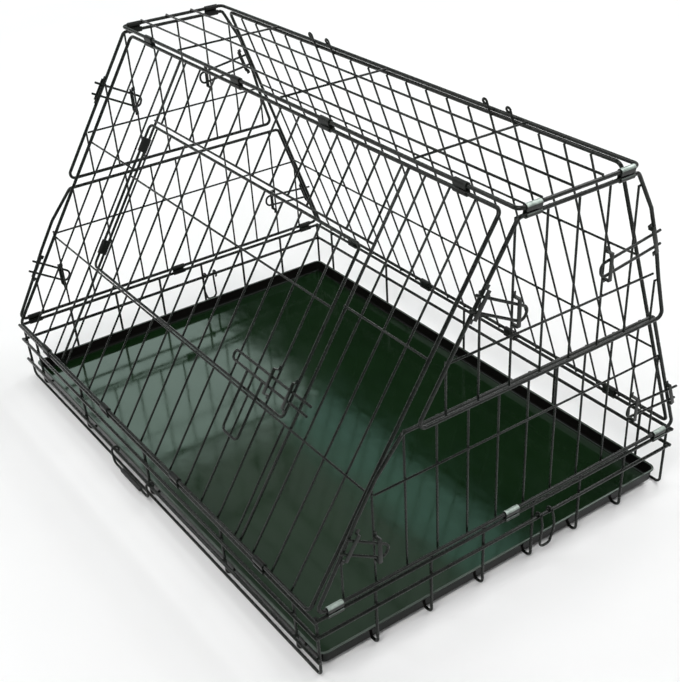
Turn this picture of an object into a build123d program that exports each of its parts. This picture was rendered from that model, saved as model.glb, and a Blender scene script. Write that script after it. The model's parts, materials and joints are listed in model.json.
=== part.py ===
from build123d import *
import math
import os

# A folding wire dog crate with a sloped front and back, a tray, a door in the front and split ends.
# Millimetres. The origin is on the floor under the middle of the crate, +Z is up and the door faces -Y.

# Overall sizes
PANEL_LENGTH = 876.0  # front and back panels, over their side wires
BASE_DEPTH = 610.0  # base, over its front and back rails
ROOF_HEIGHT = 530.0  # middle of the roof wires above the floor
ROOF_DEPTH = 180.0  # front roof wire to back roof wire
ROOF_SETBACK = 279.5  # front rail to front roof wire, measured level
HINGE_HEIGHT = 106.0  # hinge wires of the four walls above the floor
SPLIT_HEIGHT = 308.0  # where the upper and the lower end halves meet
SPLIT_GAP = 8.0  # between the meeting edges of the two halves
MIDDLE_RAIL_HEIGHT = 70.0
LOW_RAIL_HEIGHT = 31.0  # front only, carries the handle

# Wire: every wire is eight-sided, and its size is taken across the flats
FRAME_WIRE = 5.0
DOOR_WIRE = 4.0
FLOOR_WIRE = 4.0
BOLT_WIRE = 3.6
MESH_WIRE = 3.0
WIRE_SIDES = 8
BEND = 8.0  # corner radius of a frame, at the middle of the wire
BEND_STEPS = 2  # straight chords in one bend
BEND_LEG = 2.0  # straight wire left beyond a bend

# Hinges: one sheet sleeve holds two wires, tight on its own and running on the other
HINGE_PITCH = 9.0
CLIP_LENGTH = 22.0
SHEET = 1.0
CRIMP_GAP = 0.05
RUN_GAP = 0.35
LAYER_GAP = 2.3  # between panels that pass each other
RESTING_GAP = 0.8  # roof over the back panel

# Mesh
PANEL_CELLS = 20
END_PITCH = 47.0
SHORTEST_WIRE = 20.0
ROOF_ROWS = (33.0, 78.0, 123.0)  # long wires of the roof, from its front wire
BACK_LINES = (148.0, 308.0)  # long wires of the back panel, up the slope from its hinge wire
CROSS_LINES = (3.5, 10, 16.5)  # places along the mesh of the roof's cross wires
HOOK_LINES = (6, 7, 15, 16)  # mesh lines whose wires end in eyes above the roof, from the left
FLOOR_LINES = (1, 5, 10, 15, 19)  # mesh lines that carry the floor's cross wires
FLOOR_WIRES = 8
UPPER_LINE = SPLIT_HEIGHT + 72.0
LOWER_LINE = SPLIT_HEIGHT - 71.0
WALL_CLIP_CELLS = (2, 7, 12, 17)
ROOF_CLIP_CELLS = (1, 7, 12, 18)
UPPER_CLIP_INSET = 20.0
LOWER_CLIP_INSET = 28.5

# Door in the front panel, measured up the slope from the hinge wire and along it from the middle
DOOR_LEFT = -278.5
DOOR_RIGHT = 261.0
JAMB_GAP = 13.0
SILL_LINE = 158.0
HEAD_LINE = 403.0
SIDE_LINE = 323.0
DOOR_LINE = 313.0
DOOR_SILL_LAP = 6.0
DOOR_HEAD_GAP = 7.5
DOOR_CLIP_INSET = 32.0

# Slide bolts of the end halves
BOLT_SPACING = 18.0
BOLT_PAST_EDGE = 12.0
BOLT_TAIL = 14.0
GUIDE_SPAN = 34.0
GUIDE_FOOT = 5.0
GUIDE_WIDTH = 6.0
GUIDE_REACH = 30.0  # least distance from the edge guide to the upright that carries the other
# Height on the edge and rise in degrees of each bolt
UPPER_BOLTS = {"front": (ROOF_HEIGHT - 90.0, 28.0), "back": (ROOF_HEIGHT - 100.0, 8.0)}
LOWER_BOLTS = {"front": (HINGE_HEIGHT + 79.0, 33.0), "back": (HINGE_HEIGHT + 62.0, -4.0)}

# Slide bolt of the door, with its hanging grip
DOOR_BOLT_HEIGHT = 194.0
DOOR_BOLT_SPACING = 13.0
DOOR_BOLT_TAIL = 130.0
DOOR_BOLT_PAST_JAMB = 30.0
DOOR_GRIP_LEFT = 168.0
DOOR_GRIP_WIDTH = 36.0
DOOR_GRIP_END = 103.0

# Eyes on the back panel, which stop it against the roof's back wire
HOOK_RISE = 19.5  # middle of the eye above the panel's top wire
HOOK_RADIUS = 3.5

# Tray
TRAY_INSET = 1.8  # rim from the upright wires
TRAY_HEIGHT = 20.0
TRAY_DRAFT = 2.0  # how far each wall leans out
TRAY_WALL = 1.2
TRAY_CORNER = 10.0
TRAY_RIM = 2.5
TRAY_GAP = 0.2

# Carry handle on the front and anchor loops on the ends: bails that hang from a rail
HANDLE_MIDDLE = -48.0
HANDLE_WIDTH = 114.0
HANDLE_DROP = 21.0
GRIP_LENGTH = 62.0
GRIP_DIAMETER = 7.0
LOOP_MIDDLE = 62.0
LOOP_WIDTH = 20.0
LOOP_DROP = 50.0
EYE_STEPS = 6  # eighths of a turn in every eye


def reach(diameter):
    """Distance from the middle of a wire to its corners."""
    return diameter / 2 / math.cos(math.pi / WIRE_SIDES)


# Layers: the front and back panels run inside the lower halves, and those inside the upper halves
MESH_LAP = (FRAME_WIRE + MESH_WIRE) / 2  # mesh lies inside its frame
LINE_LAP = MESH_LAP - MESH_WIRE  # cross wires lie on the outer face of the mesh
BOLT_LIFT = reach(FRAME_WIRE) + reach(BOLT_WIRE) + RUN_GAP
CROWN_LIFT = BOLT_LIFT + reach(BOLT_WIRE) + RUN_GAP
PANEL_X = PANEL_LENGTH / 2 - FRAME_WIRE / 2
LOWER_X = PANEL_X + reach(FRAME_WIRE) + LAYER_GAP + reach(MESH_WIRE) + MESH_LAP
UPPER_X = LOWER_X + CROWN_LIFT + SHEET + LAYER_GAP + reach(MESH_WIRE) + MESH_LAP

# The handle stands further out than the clips at the back, and the origin is midway
EYE_RADIUS = reach(FRAME_WIRE) + RUN_GAP + reach(BOLT_WIRE)
FRONT_REACH = EYE_RADIUS + GRIP_DIAMETER / 2
BACK_REACH = reach(FRAME_WIRE) + RUN_GAP + SHEET
MIDDLE_Y = (FRONT_REACH - BACK_REACH) / 2
FRONT_Y = MIDDLE_Y - (BASE_DEPTH - FRAME_WIRE) / 2
BACK_Y = MIDDLE_Y + (BASE_DEPTH - FRAME_WIRE) / 2
ROOF_FRONT_Y = FRONT_Y + ROOF_SETBACK
ROOF_BACK_Y = ROOF_FRONT_Y + ROOF_DEPTH

# Heights and slopes
FRONT_TOP = ROOF_HEIGHT - HINGE_PITCH
BACK_TOP = ROOF_HEIGHT - FRAME_WIRE - RESTING_GAP
LIP_TOP = HINGE_HEIGHT - HINGE_PITCH
FRONT_SLOPE = math.atan2(FRONT_TOP - HINGE_HEIGHT, ROOF_FRONT_Y - FRONT_Y)
BACK_SLOPE = math.atan2(BACK_TOP - HINGE_HEIGHT, BACK_Y - ROOF_BACK_Y)
FRONT_LENGTH = math.hypot(FRONT_TOP - HINGE_HEIGHT, ROOF_FRONT_Y - FRONT_Y)
BACK_LENGTH = math.hypot(BACK_TOP - HINGE_HEIGHT, BACK_Y - ROOF_BACK_Y)
CELL = 2 * PANEL_X / PANEL_CELLS

# Door plane, proud of the front panel, and its bolt
JAMB_LAP = (FRAME_WIRE + DOOR_WIRE) / 2
DOOR_LIFT = reach(MESH_WIRE) - LINE_LAP + RUN_GAP + reach(DOOR_WIRE)
DOOR_MESH_LIFT = DOOR_LIFT - (DOOR_WIRE + MESH_WIRE) / 2
DOOR_BOLT_LIFT = DOOR_LIFT + reach(DOOR_WIRE) + reach(BOLT_WIRE) + RUN_GAP
DOOR_CROWN_LIFT = DOOR_BOLT_LIFT + reach(BOLT_WIRE) + RUN_GAP
JAMB_RIGHT = DOOR_RIGHT + JAMB_GAP
DOOR_BOTTOM = SILL_LINE + DOOR_SILL_LAP
DOOR_TOP = HEAD_LINE - DOOR_HEAD_GAP

# Base
UPRIGHT_X = LOWER_X - (FRAME_WIRE + FLOOR_WIRE) / 2
UPRIGHT_FRONT_Y = FRONT_Y + (FRAME_WIRE + FLOOR_WIRE) / 2
UPRIGHT_BACK_Y = BACK_Y - (FRAME_WIRE + FLOOR_WIRE) / 2
UPRIGHT_TOP = LIP_TOP + FRAME_WIRE / 2
FLOOR_Z = FLOOR_WIRE / 2
CROSS_Z = FLOOR_Z + FLOOR_WIRE

FRONT = Plane((0, FRONT_Y, HINGE_HEIGHT), (1, 0, 0), (0, -math.sin(FRONT_SLOPE), math.cos(FRONT_SLOPE)))
BACK = Plane((0, BACK_Y, HINGE_HEIGHT), (-1, 0, 0), (0, math.sin(BACK_SLOPE), math.cos(BACK_SLOPE)))
ROOF = Plane((0, ROOF_FRONT_Y, ROOF_HEIGHT), (1, 0, 0), (0, 0, 1))


def end_plane(x):
    """Upright plane across the crate that faces right: its own axes are world Y and Z."""
    return Plane((x, 0, 0), (0, 1, 0), (1, 0, 0))


def long_plane(y):
    """Upright plane along the crate that faces front: its own axes are world X and Z."""
    return Plane((0, y, 0), (1, 0, 0), (0, -1, 0))


def mesh_x(line):
    """Place of a mesh line or, for a half, of the middle of a cell."""
    return -PANEL_X + line * CELL


def front_edge(height):
    """Y of the front panel's middle at a height."""
    return FRONT_Y + (height - HINGE_HEIGHT) / math.tan(FRONT_SLOPE)


def back_edge(height):
    """Y of the back panel's middle at a height."""
    return BACK_Y - (height - HINGE_HEIGHT) / math.tan(BACK_SLOPE)


# Sloping edges of the end halves: place at a height, slope, and the way inward
EDGES = {"front": (front_edge, FRONT_SLOPE, 1), "back": (back_edge, BACK_SLOPE, -1)}


def edge_height(y):
    """Height at which an end's sloping edge stands over y."""
    front = HINGE_HEIGHT + (y - FRONT_Y) * math.tan(FRONT_SLOPE)
    back = HINGE_HEIGHT + (BACK_Y - y) * math.tan(BACK_SLOPE)
    return min(front, back)


def octagon(diameter):
    """Wire section with flats to its own axes."""
    return RegularPolygon(diameter / 2, WIRE_SIDES, major_radius=False, rotation=180 / WIRE_SIDES)


def section(start, along, face, diameter):
    """Wire section square to a direction, with one flat turned to face."""
    return Plane(start, x_dir=face, z_dir=along) * octagon(diameter)


def rod(plane, start, end, diameter, lift=0.0):
    """Straight wire between two points of a plane, lifted off it along its normal."""
    first = plane.from_local_coords((start[0], start[1], lift))
    last = plane.from_local_coords((end[0], end[1], lift))
    return extrude(section(first, last - first, plane.z_dir, diameter), (last - first).length)


def toward(start, end, distance):
    """Point at a distance from start on the way to end."""
    return start + (end - start).normalized() * distance


def bend_run(before, corner, after, radius):
    """How far from a corner its bend begins."""
    angle = (before - corner).get_angle(after - corner)
    return radius / math.tan(math.radians(angle) / 2)


def rounded(points, radius):
    """Points along a run of wire, with each corner turned into the chords of a bend."""
    path = [points[0]]
    for before, corner, after in zip(points, points[1:], points[2:]):
        run = bend_run(before, corner, after, radius)
        first = toward(corner, before, run)
        last = toward(corner, after, run)
        turn = math.pi - 2 * math.atan2(radius, run)
        centre = toward(corner, (first + last) / 2, math.hypot(radius, run))
        for step in range(BEND_STEPS + 1):
            share = step / BEND_STEPS * turn
            spoke = (first - centre) * math.sin(turn - share) + (last - centre) * math.sin(share)
            path.append(centre + spoke / math.sin(turn))
    return path + [points[-1]]


def wire_along(points, diameter, face):
    """Wire swept through points with mitred corners."""
    path = Polyline(*points)
    return sweep(section(path @ 0, path % 0, face, diameter), path=path, transition=Transition.RIGHT)


def bent(plane, points, diameter, radius, lift=0.0):
    """Bent wire in a plane, lifted off it along its normal."""
    flat = rounded([Vector(*point) for point in points], radius)
    placed = [plane.from_local_coords((point.X, point.Y, lift)) for point in flat]
    return wire_along(placed, diameter, plane.z_dir)


def frame(plane, corners, diameter, lift=0.0):
    """Closed frame: two side wires bent at both ends, butted to a straight wire at each end."""
    a, b, c, d = [Vector(*corner) for corner in corners]
    ends = {}
    for before, corner, after, straight in ((d, a, b, b), (a, b, c, a), (b, c, d, d), (c, d, a, c)):
        ends[tuple(corner)] = toward(corner, straight, bend_run(before, corner, after, BEND) + BEND_LEG)
    end_a, end_b, end_c, end_d = [ends[tuple(corner)] for corner in (a, b, c, d)]
    return [
        rod(plane, tuple(end_a)[:2], tuple(end_b)[:2], diameter, lift),
        bent(plane, (end_b, b, c, end_c), diameter, BEND, lift),
        rod(plane, tuple(end_c)[:2], tuple(end_d)[:2], diameter, lift),
        bent(plane, (end_d, d, a, end_a), diameter, BEND, lift),
    ]


def clip(own, other, own_wire, other_wire, along):
    """Sheet sleeve folded tight round its own wire and loosely round the one that turns in it."""
    middle = (own + other) / 2
    half = (other - own).length / 2
    own_width = 2 * (reach(own_wire) + CRIMP_GAP)
    other_width = 2 * (reach(other_wire) + RUN_GAP)
    shapes = []
    for wall in (SHEET, 0):
        tight = Pos(-half, 0) * octagon(own_width + 2 * wall)
        loose = Pos(half, 0) * octagon(other_width + 2 * wall)
        shapes.append(make_hull(tight.edges() + loose.edges()))
    place = Plane(middle, x_dir=other - own, z_dir=along)
    return extrude(place * (shapes[0] - shapes[1]), CLIP_LENGTH / 2, both=True)


def guide(plane, centre, along, foot_lift, crown_lift):
    """Folded strap over the prongs of a bolt, its two feet on one wire that runs along it."""
    half = GUIDE_SPAN / 2
    outer = half + SHEET
    foot = outer + GUIDE_FOOT
    right = [
        (half, crown_lift),
        (half, foot_lift),
        (foot, foot_lift),
        (foot, foot_lift + SHEET),
        (outer, foot_lift + SHEET),
        (outer, crown_lift + SHEET),
    ]
    left = [(-x, y) for x, y in reversed(right)]
    start = plane.from_local_coords((centre[0], centre[1], 0))
    run = plane.from_local_coords((centre[0] + along[0], centre[1] + along[1], 0)) - start
    place = Plane(start, x_dir=run, z_dir=run.cross(plane.z_dir))
    return extrude(place * make_face(Polyline(*right, *left, close=True)), GUIDE_WIDTH / 2, both=True)


def prongs(plane, tip, tail, spacing, lift):
    """Two-pronged bolt: one wire doubled back on itself, closed at its tail."""
    tip = Vector(*tip)
    tail = Vector(*tail)
    side = (tip - tail).normalized().rotate(Axis.Z, 90) * (spacing / 2)
    points = (tip + side, tail + side, tail - side, tip - side)
    return bent(plane, points, BOLT_WIRE, spacing / 2 - BEND_LEG / 2, lift)


def bail(plane, middle, width, drop):
    """Wire bail hanging in front of a rail that runs along the plane, with an eye at each end."""
    corner = EYE_RADIUS / math.cos(math.pi / WIRE_SIDES)
    turn = 2 * math.pi / WIRE_SIDES
    eye = []
    for step in range(EYE_STEPS):
        angle = turn * (EYE_STEPS - step - 0.5)
        eye.append((corner * math.sin(angle), corner * math.cos(angle)))
    left = middle[0] - width / 2
    right = middle[0] + width / 2
    loop = [Vector(left, middle[1] + up, out) for up, out in eye]
    corners = [loop[-1], Vector(left, middle[1] - drop, EYE_RADIUS)]
    corners += [Vector(right, middle[1] - drop, EYE_RADIUS), Vector(right, loop[-1].Y, loop[-1].Z)]
    back = [Vector(right, point.Y, point.Z) for point in reversed(loop[:-1])]
    path = loop[:-1] + rounded(corners, BEND) + back
    placed = [plane.from_local_coords((point.X, point.Y, point.Z)) for point in path]
    return wire_along(placed, BOLT_WIRE, plane.x_dir)


def eye_end(plane, start, radius, lift):
    """Mesh wire that turns off the end of a straight run into an eye beside it."""
    turn = 2 * math.pi / WIRE_SIDES
    corner = radius / math.cos(turn / 2)
    last = turn * EYE_STEPS
    spokes = [(corner, turn * (step + 0.5)) for step in range(EYE_STEPS)] + [(radius, last)]
    path = [(start[0], start[1])]
    for spoke, angle in spokes:
        path.append((start[0] + radius - spoke * math.cos(angle), start[1] + spoke * math.sin(angle)))
    placed = [plane.from_local_coords((x, y, lift)) for x, y in path]
    return wire_along(placed, MESH_WIRE, plane.z_dir)


def mirrored(pieces):
    """The same pieces at the other end of the crate."""
    return [mirror(piece, about=Plane.YZ) for piece in pieces]


def base_floor():
    """Long wires on the ground and cross wires over them, straight between their bends."""
    long_end = UPRIGHT_X - BEND - BEND_LEG
    cross_front = UPRIGHT_FRONT_Y + BEND + BEND_LEG
    cross_back = UPRIGHT_BACK_Y - BEND - BEND_LEG
    ground = Plane.XY
    long_wires = [
        rod(ground, (-long_end, y), (long_end, y), FLOOR_WIRE, FLOOR_Z) for y in floor_places()
    ]
    cross_wires = [
        rod(ground, (mesh_x(line), cross_front), (mesh_x(line), cross_back), FLOOR_WIRE, CROSS_Z)
        for line in FLOOR_LINES
    ]
    return long_wires, cross_wires


def floor_places():
    """Y of each long floor wire, from the front upright to the back one."""
    step = (UPRIGHT_BACK_Y - UPRIGHT_FRONT_Y) / (FLOOR_WIRES - 1)
    return [UPRIGHT_FRONT_Y + step * place for place in range(FLOOR_WIRES)]


def end_uprights():
    """Floor wires turned up at the right end to stand inside the rails."""
    start = UPRIGHT_X - BEND - BEND_LEG
    points = ((start, FLOOR_Z), (UPRIGHT_X, FLOOR_Z), (UPRIGHT_X, UPRIGHT_TOP))
    return [bent(long_plane(y), points, FLOOR_WIRE, BEND) for y in floor_places()]


def side_uprights(y, inward):
    """Cross wires turned up at the front or the back."""
    start = y + inward * (BEND + BEND_LEG)
    points = ((start, CROSS_Z), (y, CROSS_Z), (y, UPRIGHT_TOP))
    return [bent(end_plane(mesh_x(line)), points, FLOOR_WIRE, BEND) for line in FLOOR_LINES]


def long_rail(y, height):
    """Rail along the front or the back, out to the faces of the end rails."""
    end = LOWER_X + FRAME_WIRE / 2
    return rod(long_plane(y), (-end, height), (end, height), FRAME_WIRE)


def end_rail(height):
    """Rail across the right end, between the long rails."""
    front = (FRONT_Y + FRAME_WIRE / 2, height)
    back = (BACK_Y - FRAME_WIRE / 2, height)
    return rod(end_plane(LOWER_X), front, back, FRAME_WIRE)


def lip_rails():
    """Rails round the base: two levels all round."""
    rails = []
    for height in (MIDDLE_RAIL_HEIGHT, LIP_TOP):
        rails += [long_rail(FRONT_Y, height), long_rail(BACK_Y, height), end_rail(height)]
        rails += mirrored([end_rail(height)])
    return rails


def wall_clips(y):
    """Sleeves that hinge the front or back panel to its rail."""
    clips = []
    for cell in WALL_CLIP_CELLS:
        x = mesh_x(cell + 0.5)
        rail = Vector(x, y, LIP_TOP)
        hinge = Vector(x, y, HINGE_HEIGHT)
        clips.append(clip(rail, hinge, FRAME_WIRE, FRAME_WIRE, (1, 0, 0)))
    return clips


def lower_clips():
    """Sleeves that hinge the right lower half to its rail."""
    clips = []
    for y in (FRONT_Y + LOWER_CLIP_INSET, MIDDLE_Y, BACK_Y - LOWER_CLIP_INSET):
        rail = Vector(LOWER_X, y, LIP_TOP)
        hinge = Vector(LOWER_X, y, HINGE_HEIGHT)
        clips.append(clip(rail, hinge, FRAME_WIRE, FRAME_WIRE, (0, 1, 0)))
    return clips


def tray():
    """Pressed pan with walls that lean out and a rim turned out round their top."""
    length = 2 * (UPRIGHT_X - FLOOR_WIRE / 2 - TRAY_INSET - TRAY_RIM)
    depth = UPRIGHT_BACK_Y - UPRIGHT_FRONT_Y - FLOOR_WIRE - 2 * (TRAY_INSET + TRAY_RIM)
    bottom = CROSS_Z + FLOOR_WIRE / 2 + TRAY_GAP
    outer = RectangleRounded(length, depth, TRAY_CORNER)
    inner = offset(outer, -TRAY_WALL)
    foot = offset(outer, -TRAY_DRAFT)
    hollow = offset(foot, -TRAY_WALL)
    top = Pos(0, 0, TRAY_HEIGHT)
    pan = loft([foot, top * outer], ruled=True)
    pan -= loft([Pos(0, 0, TRAY_WALL) * hollow, top * inner], ruled=True)
    rim = offset(outer, TRAY_RIM) - inner
    pan += Pos(0, 0, TRAY_HEIGHT - TRAY_RIM) * extrude(rim, TRAY_RIM)
    return Pos(0, MIDDLE_Y, bottom) * pan


def carry_handle():
    """Bail on the low front rail, with a round grip sleeve on its bar."""
    wall = long_plane(FRONT_Y)
    wire = bail(wall, (HANDLE_MIDDLE, LOW_RAIL_HEIGHT), HANDLE_WIDTH, HANDLE_DROP)
    bar = wall.from_local_coords((HANDLE_MIDDLE, LOW_RAIL_HEIGHT - HANDLE_DROP, EYE_RADIUS))
    sleeve = Circle(GRIP_DIAMETER / 2) - octagon(BOLT_WIRE)
    grip = extrude(Plane(bar, x_dir=(0, 0, 1), z_dir=(1, 0, 0)) * sleeve, GRIP_LENGTH / 2, both=True)
    return wire, grip


def anchor_loop():
    """Small bail on the middle rail of the right end."""
    return bail(end_plane(LOWER_X), (LOOP_MIDDLE, MIDDLE_RAIL_HEIGHT), LOOP_WIDTH, LOOP_DROP)


def panel_corners(length):
    """Corners of the front or back panel, hinge edge first."""
    return ((-PANEL_X, 0), (PANEL_X, 0), (PANEL_X, length), (-PANEL_X, length))


def slope_wire(plane, x, start, end):
    """Mesh wire up a sloping panel, on the inner face of its frame."""
    return rod(plane, (x, start), (x, end), MESH_WIRE, -MESH_LAP)


def line_wire(plane, start, end, height):
    """Wire along a sloping panel, on the outer face of its mesh."""
    return rod(plane, (start, height), (end, height), MESH_WIRE, -LINE_LAP)


def front_panel():
    """Front wires, grouped by where they stand round the doorway."""
    edge = PANEL_X - FRAME_WIRE / 2
    sides, low, high = [], [], []
    for line in range(1, PANEL_CELLS):
        x = mesh_x(line)
        if DOOR_LEFT < x < JAMB_RIGHT:
            low.append(slope_wire(FRONT, x, 0, SILL_LINE))
            high.append(slope_wire(FRONT, x, HEAD_LINE, FRONT_LENGTH))
        else:
            sides.append(slope_wire(FRONT, x, 0, FRONT_LENGTH))
    jambs = [
        rod(FRONT, (x, 0), (x, FRONT_LENGTH), DOOR_WIRE, -JAMB_LAP) for x in (DOOR_LEFT, JAMB_RIGHT)
    ]
    lines = [
        line_wire(FRONT, -edge, edge, SILL_LINE),
        line_wire(FRONT, DOOR_LEFT, JAMB_RIGHT, HEAD_LINE),
        line_wire(FRONT, -edge, DOOR_LEFT, SIDE_LINE),
        line_wire(FRONT, JAMB_RIGHT, edge, SIDE_LINE),
    ]
    return sides, low, high, jambs, lines


def door():
    """Door frame and the mesh inside it."""
    corners = ((DOOR_LEFT, DOOR_TOP), (DOOR_LEFT, DOOR_BOTTOM))
    corners += ((DOOR_RIGHT, DOOR_BOTTOM), (DOOR_RIGHT, DOOR_TOP))
    wires = []
    for line in range(1, PANEL_CELLS):
        x = mesh_x(line)
        if DOOR_LEFT + DOOR_WIRE + MESH_WIRE < x < DOOR_RIGHT - DOOR_WIRE - MESH_WIRE:
            wires.append(rod(FRONT, (x, DOOR_BOTTOM), (x, DOOR_TOP), MESH_WIRE, DOOR_MESH_LIFT))
    left = (DOOR_LEFT + DOOR_WIRE / 2, DOOR_LINE)
    right = (DOOR_RIGHT - DOOR_WIRE / 2, DOOR_LINE)
    wires.append(rod(FRONT, left, right, MESH_WIRE, DOOR_MESH_LIFT + MESH_WIRE))
    return frame(FRONT, corners, DOOR_WIRE, DOOR_LIFT), wires


def door_clips():
    """Sleeves that hinge the door to the left jamb behind it."""
    clips = []
    for height in (DOOR_BOTTOM + DOOR_CLIP_INSET, DOOR_TOP - DOOR_CLIP_INSET):
        jamb = FRONT.from_local_coords((DOOR_LEFT, height, -JAMB_LAP))
        pivot = FRONT.from_local_coords((DOOR_LEFT, height, DOOR_LIFT))
        clips.append(clip(jamb, pivot, DOOR_WIRE, DOOR_WIRE, FRONT.y_dir))
    return clips


def door_bolt():
    """Sliding bolt of the door with a grip loop that hangs below the sill."""
    tip = (JAMB_RIGHT + DOOR_BOLT_PAST_JAMB, DOOR_BOLT_HEIGHT)
    tail = (DOOR_BOLT_TAIL, DOOR_BOLT_HEIGHT)
    bolt = prongs(FRONT, tip, tail, DOOR_BOLT_SPACING, DOOR_BOLT_LIFT)
    top = DOOR_BOLT_HEIGHT - DOOR_BOLT_SPACING / 2 - BOLT_WIRE / 2
    grip_right = DOOR_GRIP_LEFT + DOOR_GRIP_WIDTH
    points = ((DOOR_GRIP_LEFT, top), (DOOR_GRIP_LEFT, DOOR_GRIP_END))
    points += ((grip_right, DOOR_GRIP_END), (grip_right, top))
    return bolt, bent(FRONT, points, BOLT_WIRE, BEND, DOOR_BOLT_LIFT)


def door_guides():
    """Straps for the door's bolt, on its last mesh wire and on its frame."""
    last = max(line for line in range(PANEL_CELLS) if mesh_x(line) < DOOR_RIGHT - CELL / 2)
    on_mesh = (mesh_x(last), DOOR_BOLT_HEIGHT)
    on_frame = (DOOR_RIGHT, DOOR_BOLT_HEIGHT)
    return [
        guide(FRONT, on_mesh, (0, 1), DOOR_MESH_LIFT + MESH_WIRE / 2, DOOR_CROWN_LIFT),
        guide(FRONT, on_frame, (0, 1), DOOR_LIFT + DOOR_WIRE / 2, DOOR_CROWN_LIFT),
    ]


def back_panel():
    """Back mesh, with some of its wires run on past the roof's back wire and turned into eyes."""
    plain, hooks = [], []
    neck = BACK_LENGTH + HOOK_RISE
    for line in range(1, PANEL_CELLS):
        x = -mesh_x(line)  # the panel's own axis runs to the left
        if line in HOOK_LINES:
            hooks.append(slope_wire(BACK, x, 0, neck))
            hooks.append(eye_end(BACK, (x, neck), HOOK_RADIUS, -MESH_LAP))
        else:
            plain.append(slope_wire(BACK, x, 0, BACK_LENGTH))
    edge = PANEL_X - FRAME_WIRE / 2
    lines = [line_wire(BACK, -edge, edge, height) for height in BACK_LINES]
    return plain, hooks, lines


def roof():
    """Roof frame and its wires: long ones over the frame, cross ones under them."""
    corners = ((-UPPER_X, 0), (UPPER_X, 0), (UPPER_X, ROOF_DEPTH), (-UPPER_X, ROOF_DEPTH))
    wires = []
    for row in ROOF_ROWS:
        wires.append(rod(ROOF, (-UPPER_X, row), (UPPER_X, row), MESH_WIRE, MESH_LAP))
    for line in CROSS_LINES:
        start = (mesh_x(line), FRAME_WIRE / 2)
        end = (mesh_x(line), ROOF_DEPTH - FRAME_WIRE / 2)
        wires.append(rod(ROOF, start, end, MESH_WIRE, LINE_LAP))
    return frame(ROOF, corners, FRAME_WIRE), wires


def roof_clips():
    """Sleeves that hinge the roof to the front panel's top wire."""
    clips = []
    for cell in ROOF_CLIP_CELLS:
        x = mesh_x(cell + 0.5)
        own = Vector(x, ROOF_FRONT_Y, FRONT_TOP)
        hinge = Vector(x, ROOF_FRONT_Y, ROOF_HEIGHT)
        clips.append(clip(own, hinge, FRAME_WIRE, FRAME_WIRE, (1, 0, 0)))
    return clips


def upper_clips():
    """Sleeves that hang the right upper half from the roof's short edge."""
    clips = []
    for y in (ROOF_FRONT_Y + UPPER_CLIP_INSET, ROOF_BACK_Y - UPPER_CLIP_INSET):
        own = Vector(UPPER_X, y, ROOF_HEIGHT)
        hinge = Vector(UPPER_X, y, FRONT_TOP)
        clips.append(clip(own, hinge, FRAME_WIRE, FRAME_WIRE, (0, 1, 0)))
    return clips


def half_uprights(bottom, top):
    """Places of an end half's upright wires, each with its lower and upper end."""
    wires = []
    count = int(BASE_DEPTH / 2 / END_PITCH)
    for place in range(-count - 1, count + 1):
        y = MIDDLE_Y + (place + 0.5) * END_PITCH
        crest = min(top, edge_height(y))
        if crest - bottom > SHORTEST_WIRE:
            wires.append((y, crest))
    return wires


def half_bolt(plane, uprights, edge_name, height, rise):
    """Bolt across a half's sloping edge at a height, and the two straps that guide it."""
    edge, slope, side = EDGES[edge_name]
    crossing = Vector(edge(height), height)
    inward = Vector(side * math.cos(math.radians(rise)), -math.sin(math.radians(rise)))
    far = [y for y, crest in uprights if (y - crossing.X) * inward.X > GUIDE_REACH]
    carrier = min(far, key=lambda y: abs(y - crossing.X))
    inner = crossing + inward * ((carrier - crossing.X) / inward.X)
    leaning = (side * math.cos(slope), math.sin(slope))
    straps = [
        guide(plane, (inner.X, inner.Y), (0, 1), MESH_WIRE / 2 - MESH_LAP, CROWN_LIFT),
        guide(plane, (crossing.X, crossing.Y), leaning, FRAME_WIRE / 2, CROWN_LIFT),
    ]
    tip = crossing - inward * BOLT_PAST_EDGE
    tail = inner + inward * BOLT_TAIL
    return prongs(plane, tip, tail, BOLT_SPACING, BOLT_LIFT), straps


def end_half(x, bottom, top, hinge_low, line, bolts):
    """One end half: its frame, mesh, bolts by name and the straps that guide them."""
    plane = end_plane(x)
    low = ((front_edge(bottom), bottom), (back_edge(bottom), bottom))
    high = ((front_edge(top), top), (back_edge(top), top))
    corners = (*low, *reversed(high)) if hinge_low else (*high, *reversed(low))
    uprights = half_uprights(bottom, top)
    mesh = [rod(plane, (y, bottom), (y, crest), MESH_WIRE, -MESH_LAP) for y, crest in uprights]
    ends = []
    for edge, slope, side in EDGES.values():
        inset = FRAME_WIRE / 2 / math.sin(slope) + MESH_WIRE / 2 / math.tan(slope)
        ends.append((edge(line) + side * inset, line))
    mesh.append(rod(plane, *ends, MESH_WIRE, -LINE_LAP))
    sliders, guides = {}, []
    for edge_name, (height, rise) in bolts.items():
        sliders[edge_name], straps = half_bolt(plane, uprights, edge_name, height, rise)
        guides += straps
    return frame(plane, corners, FRAME_WIRE), mesh, sliders, guides


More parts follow.
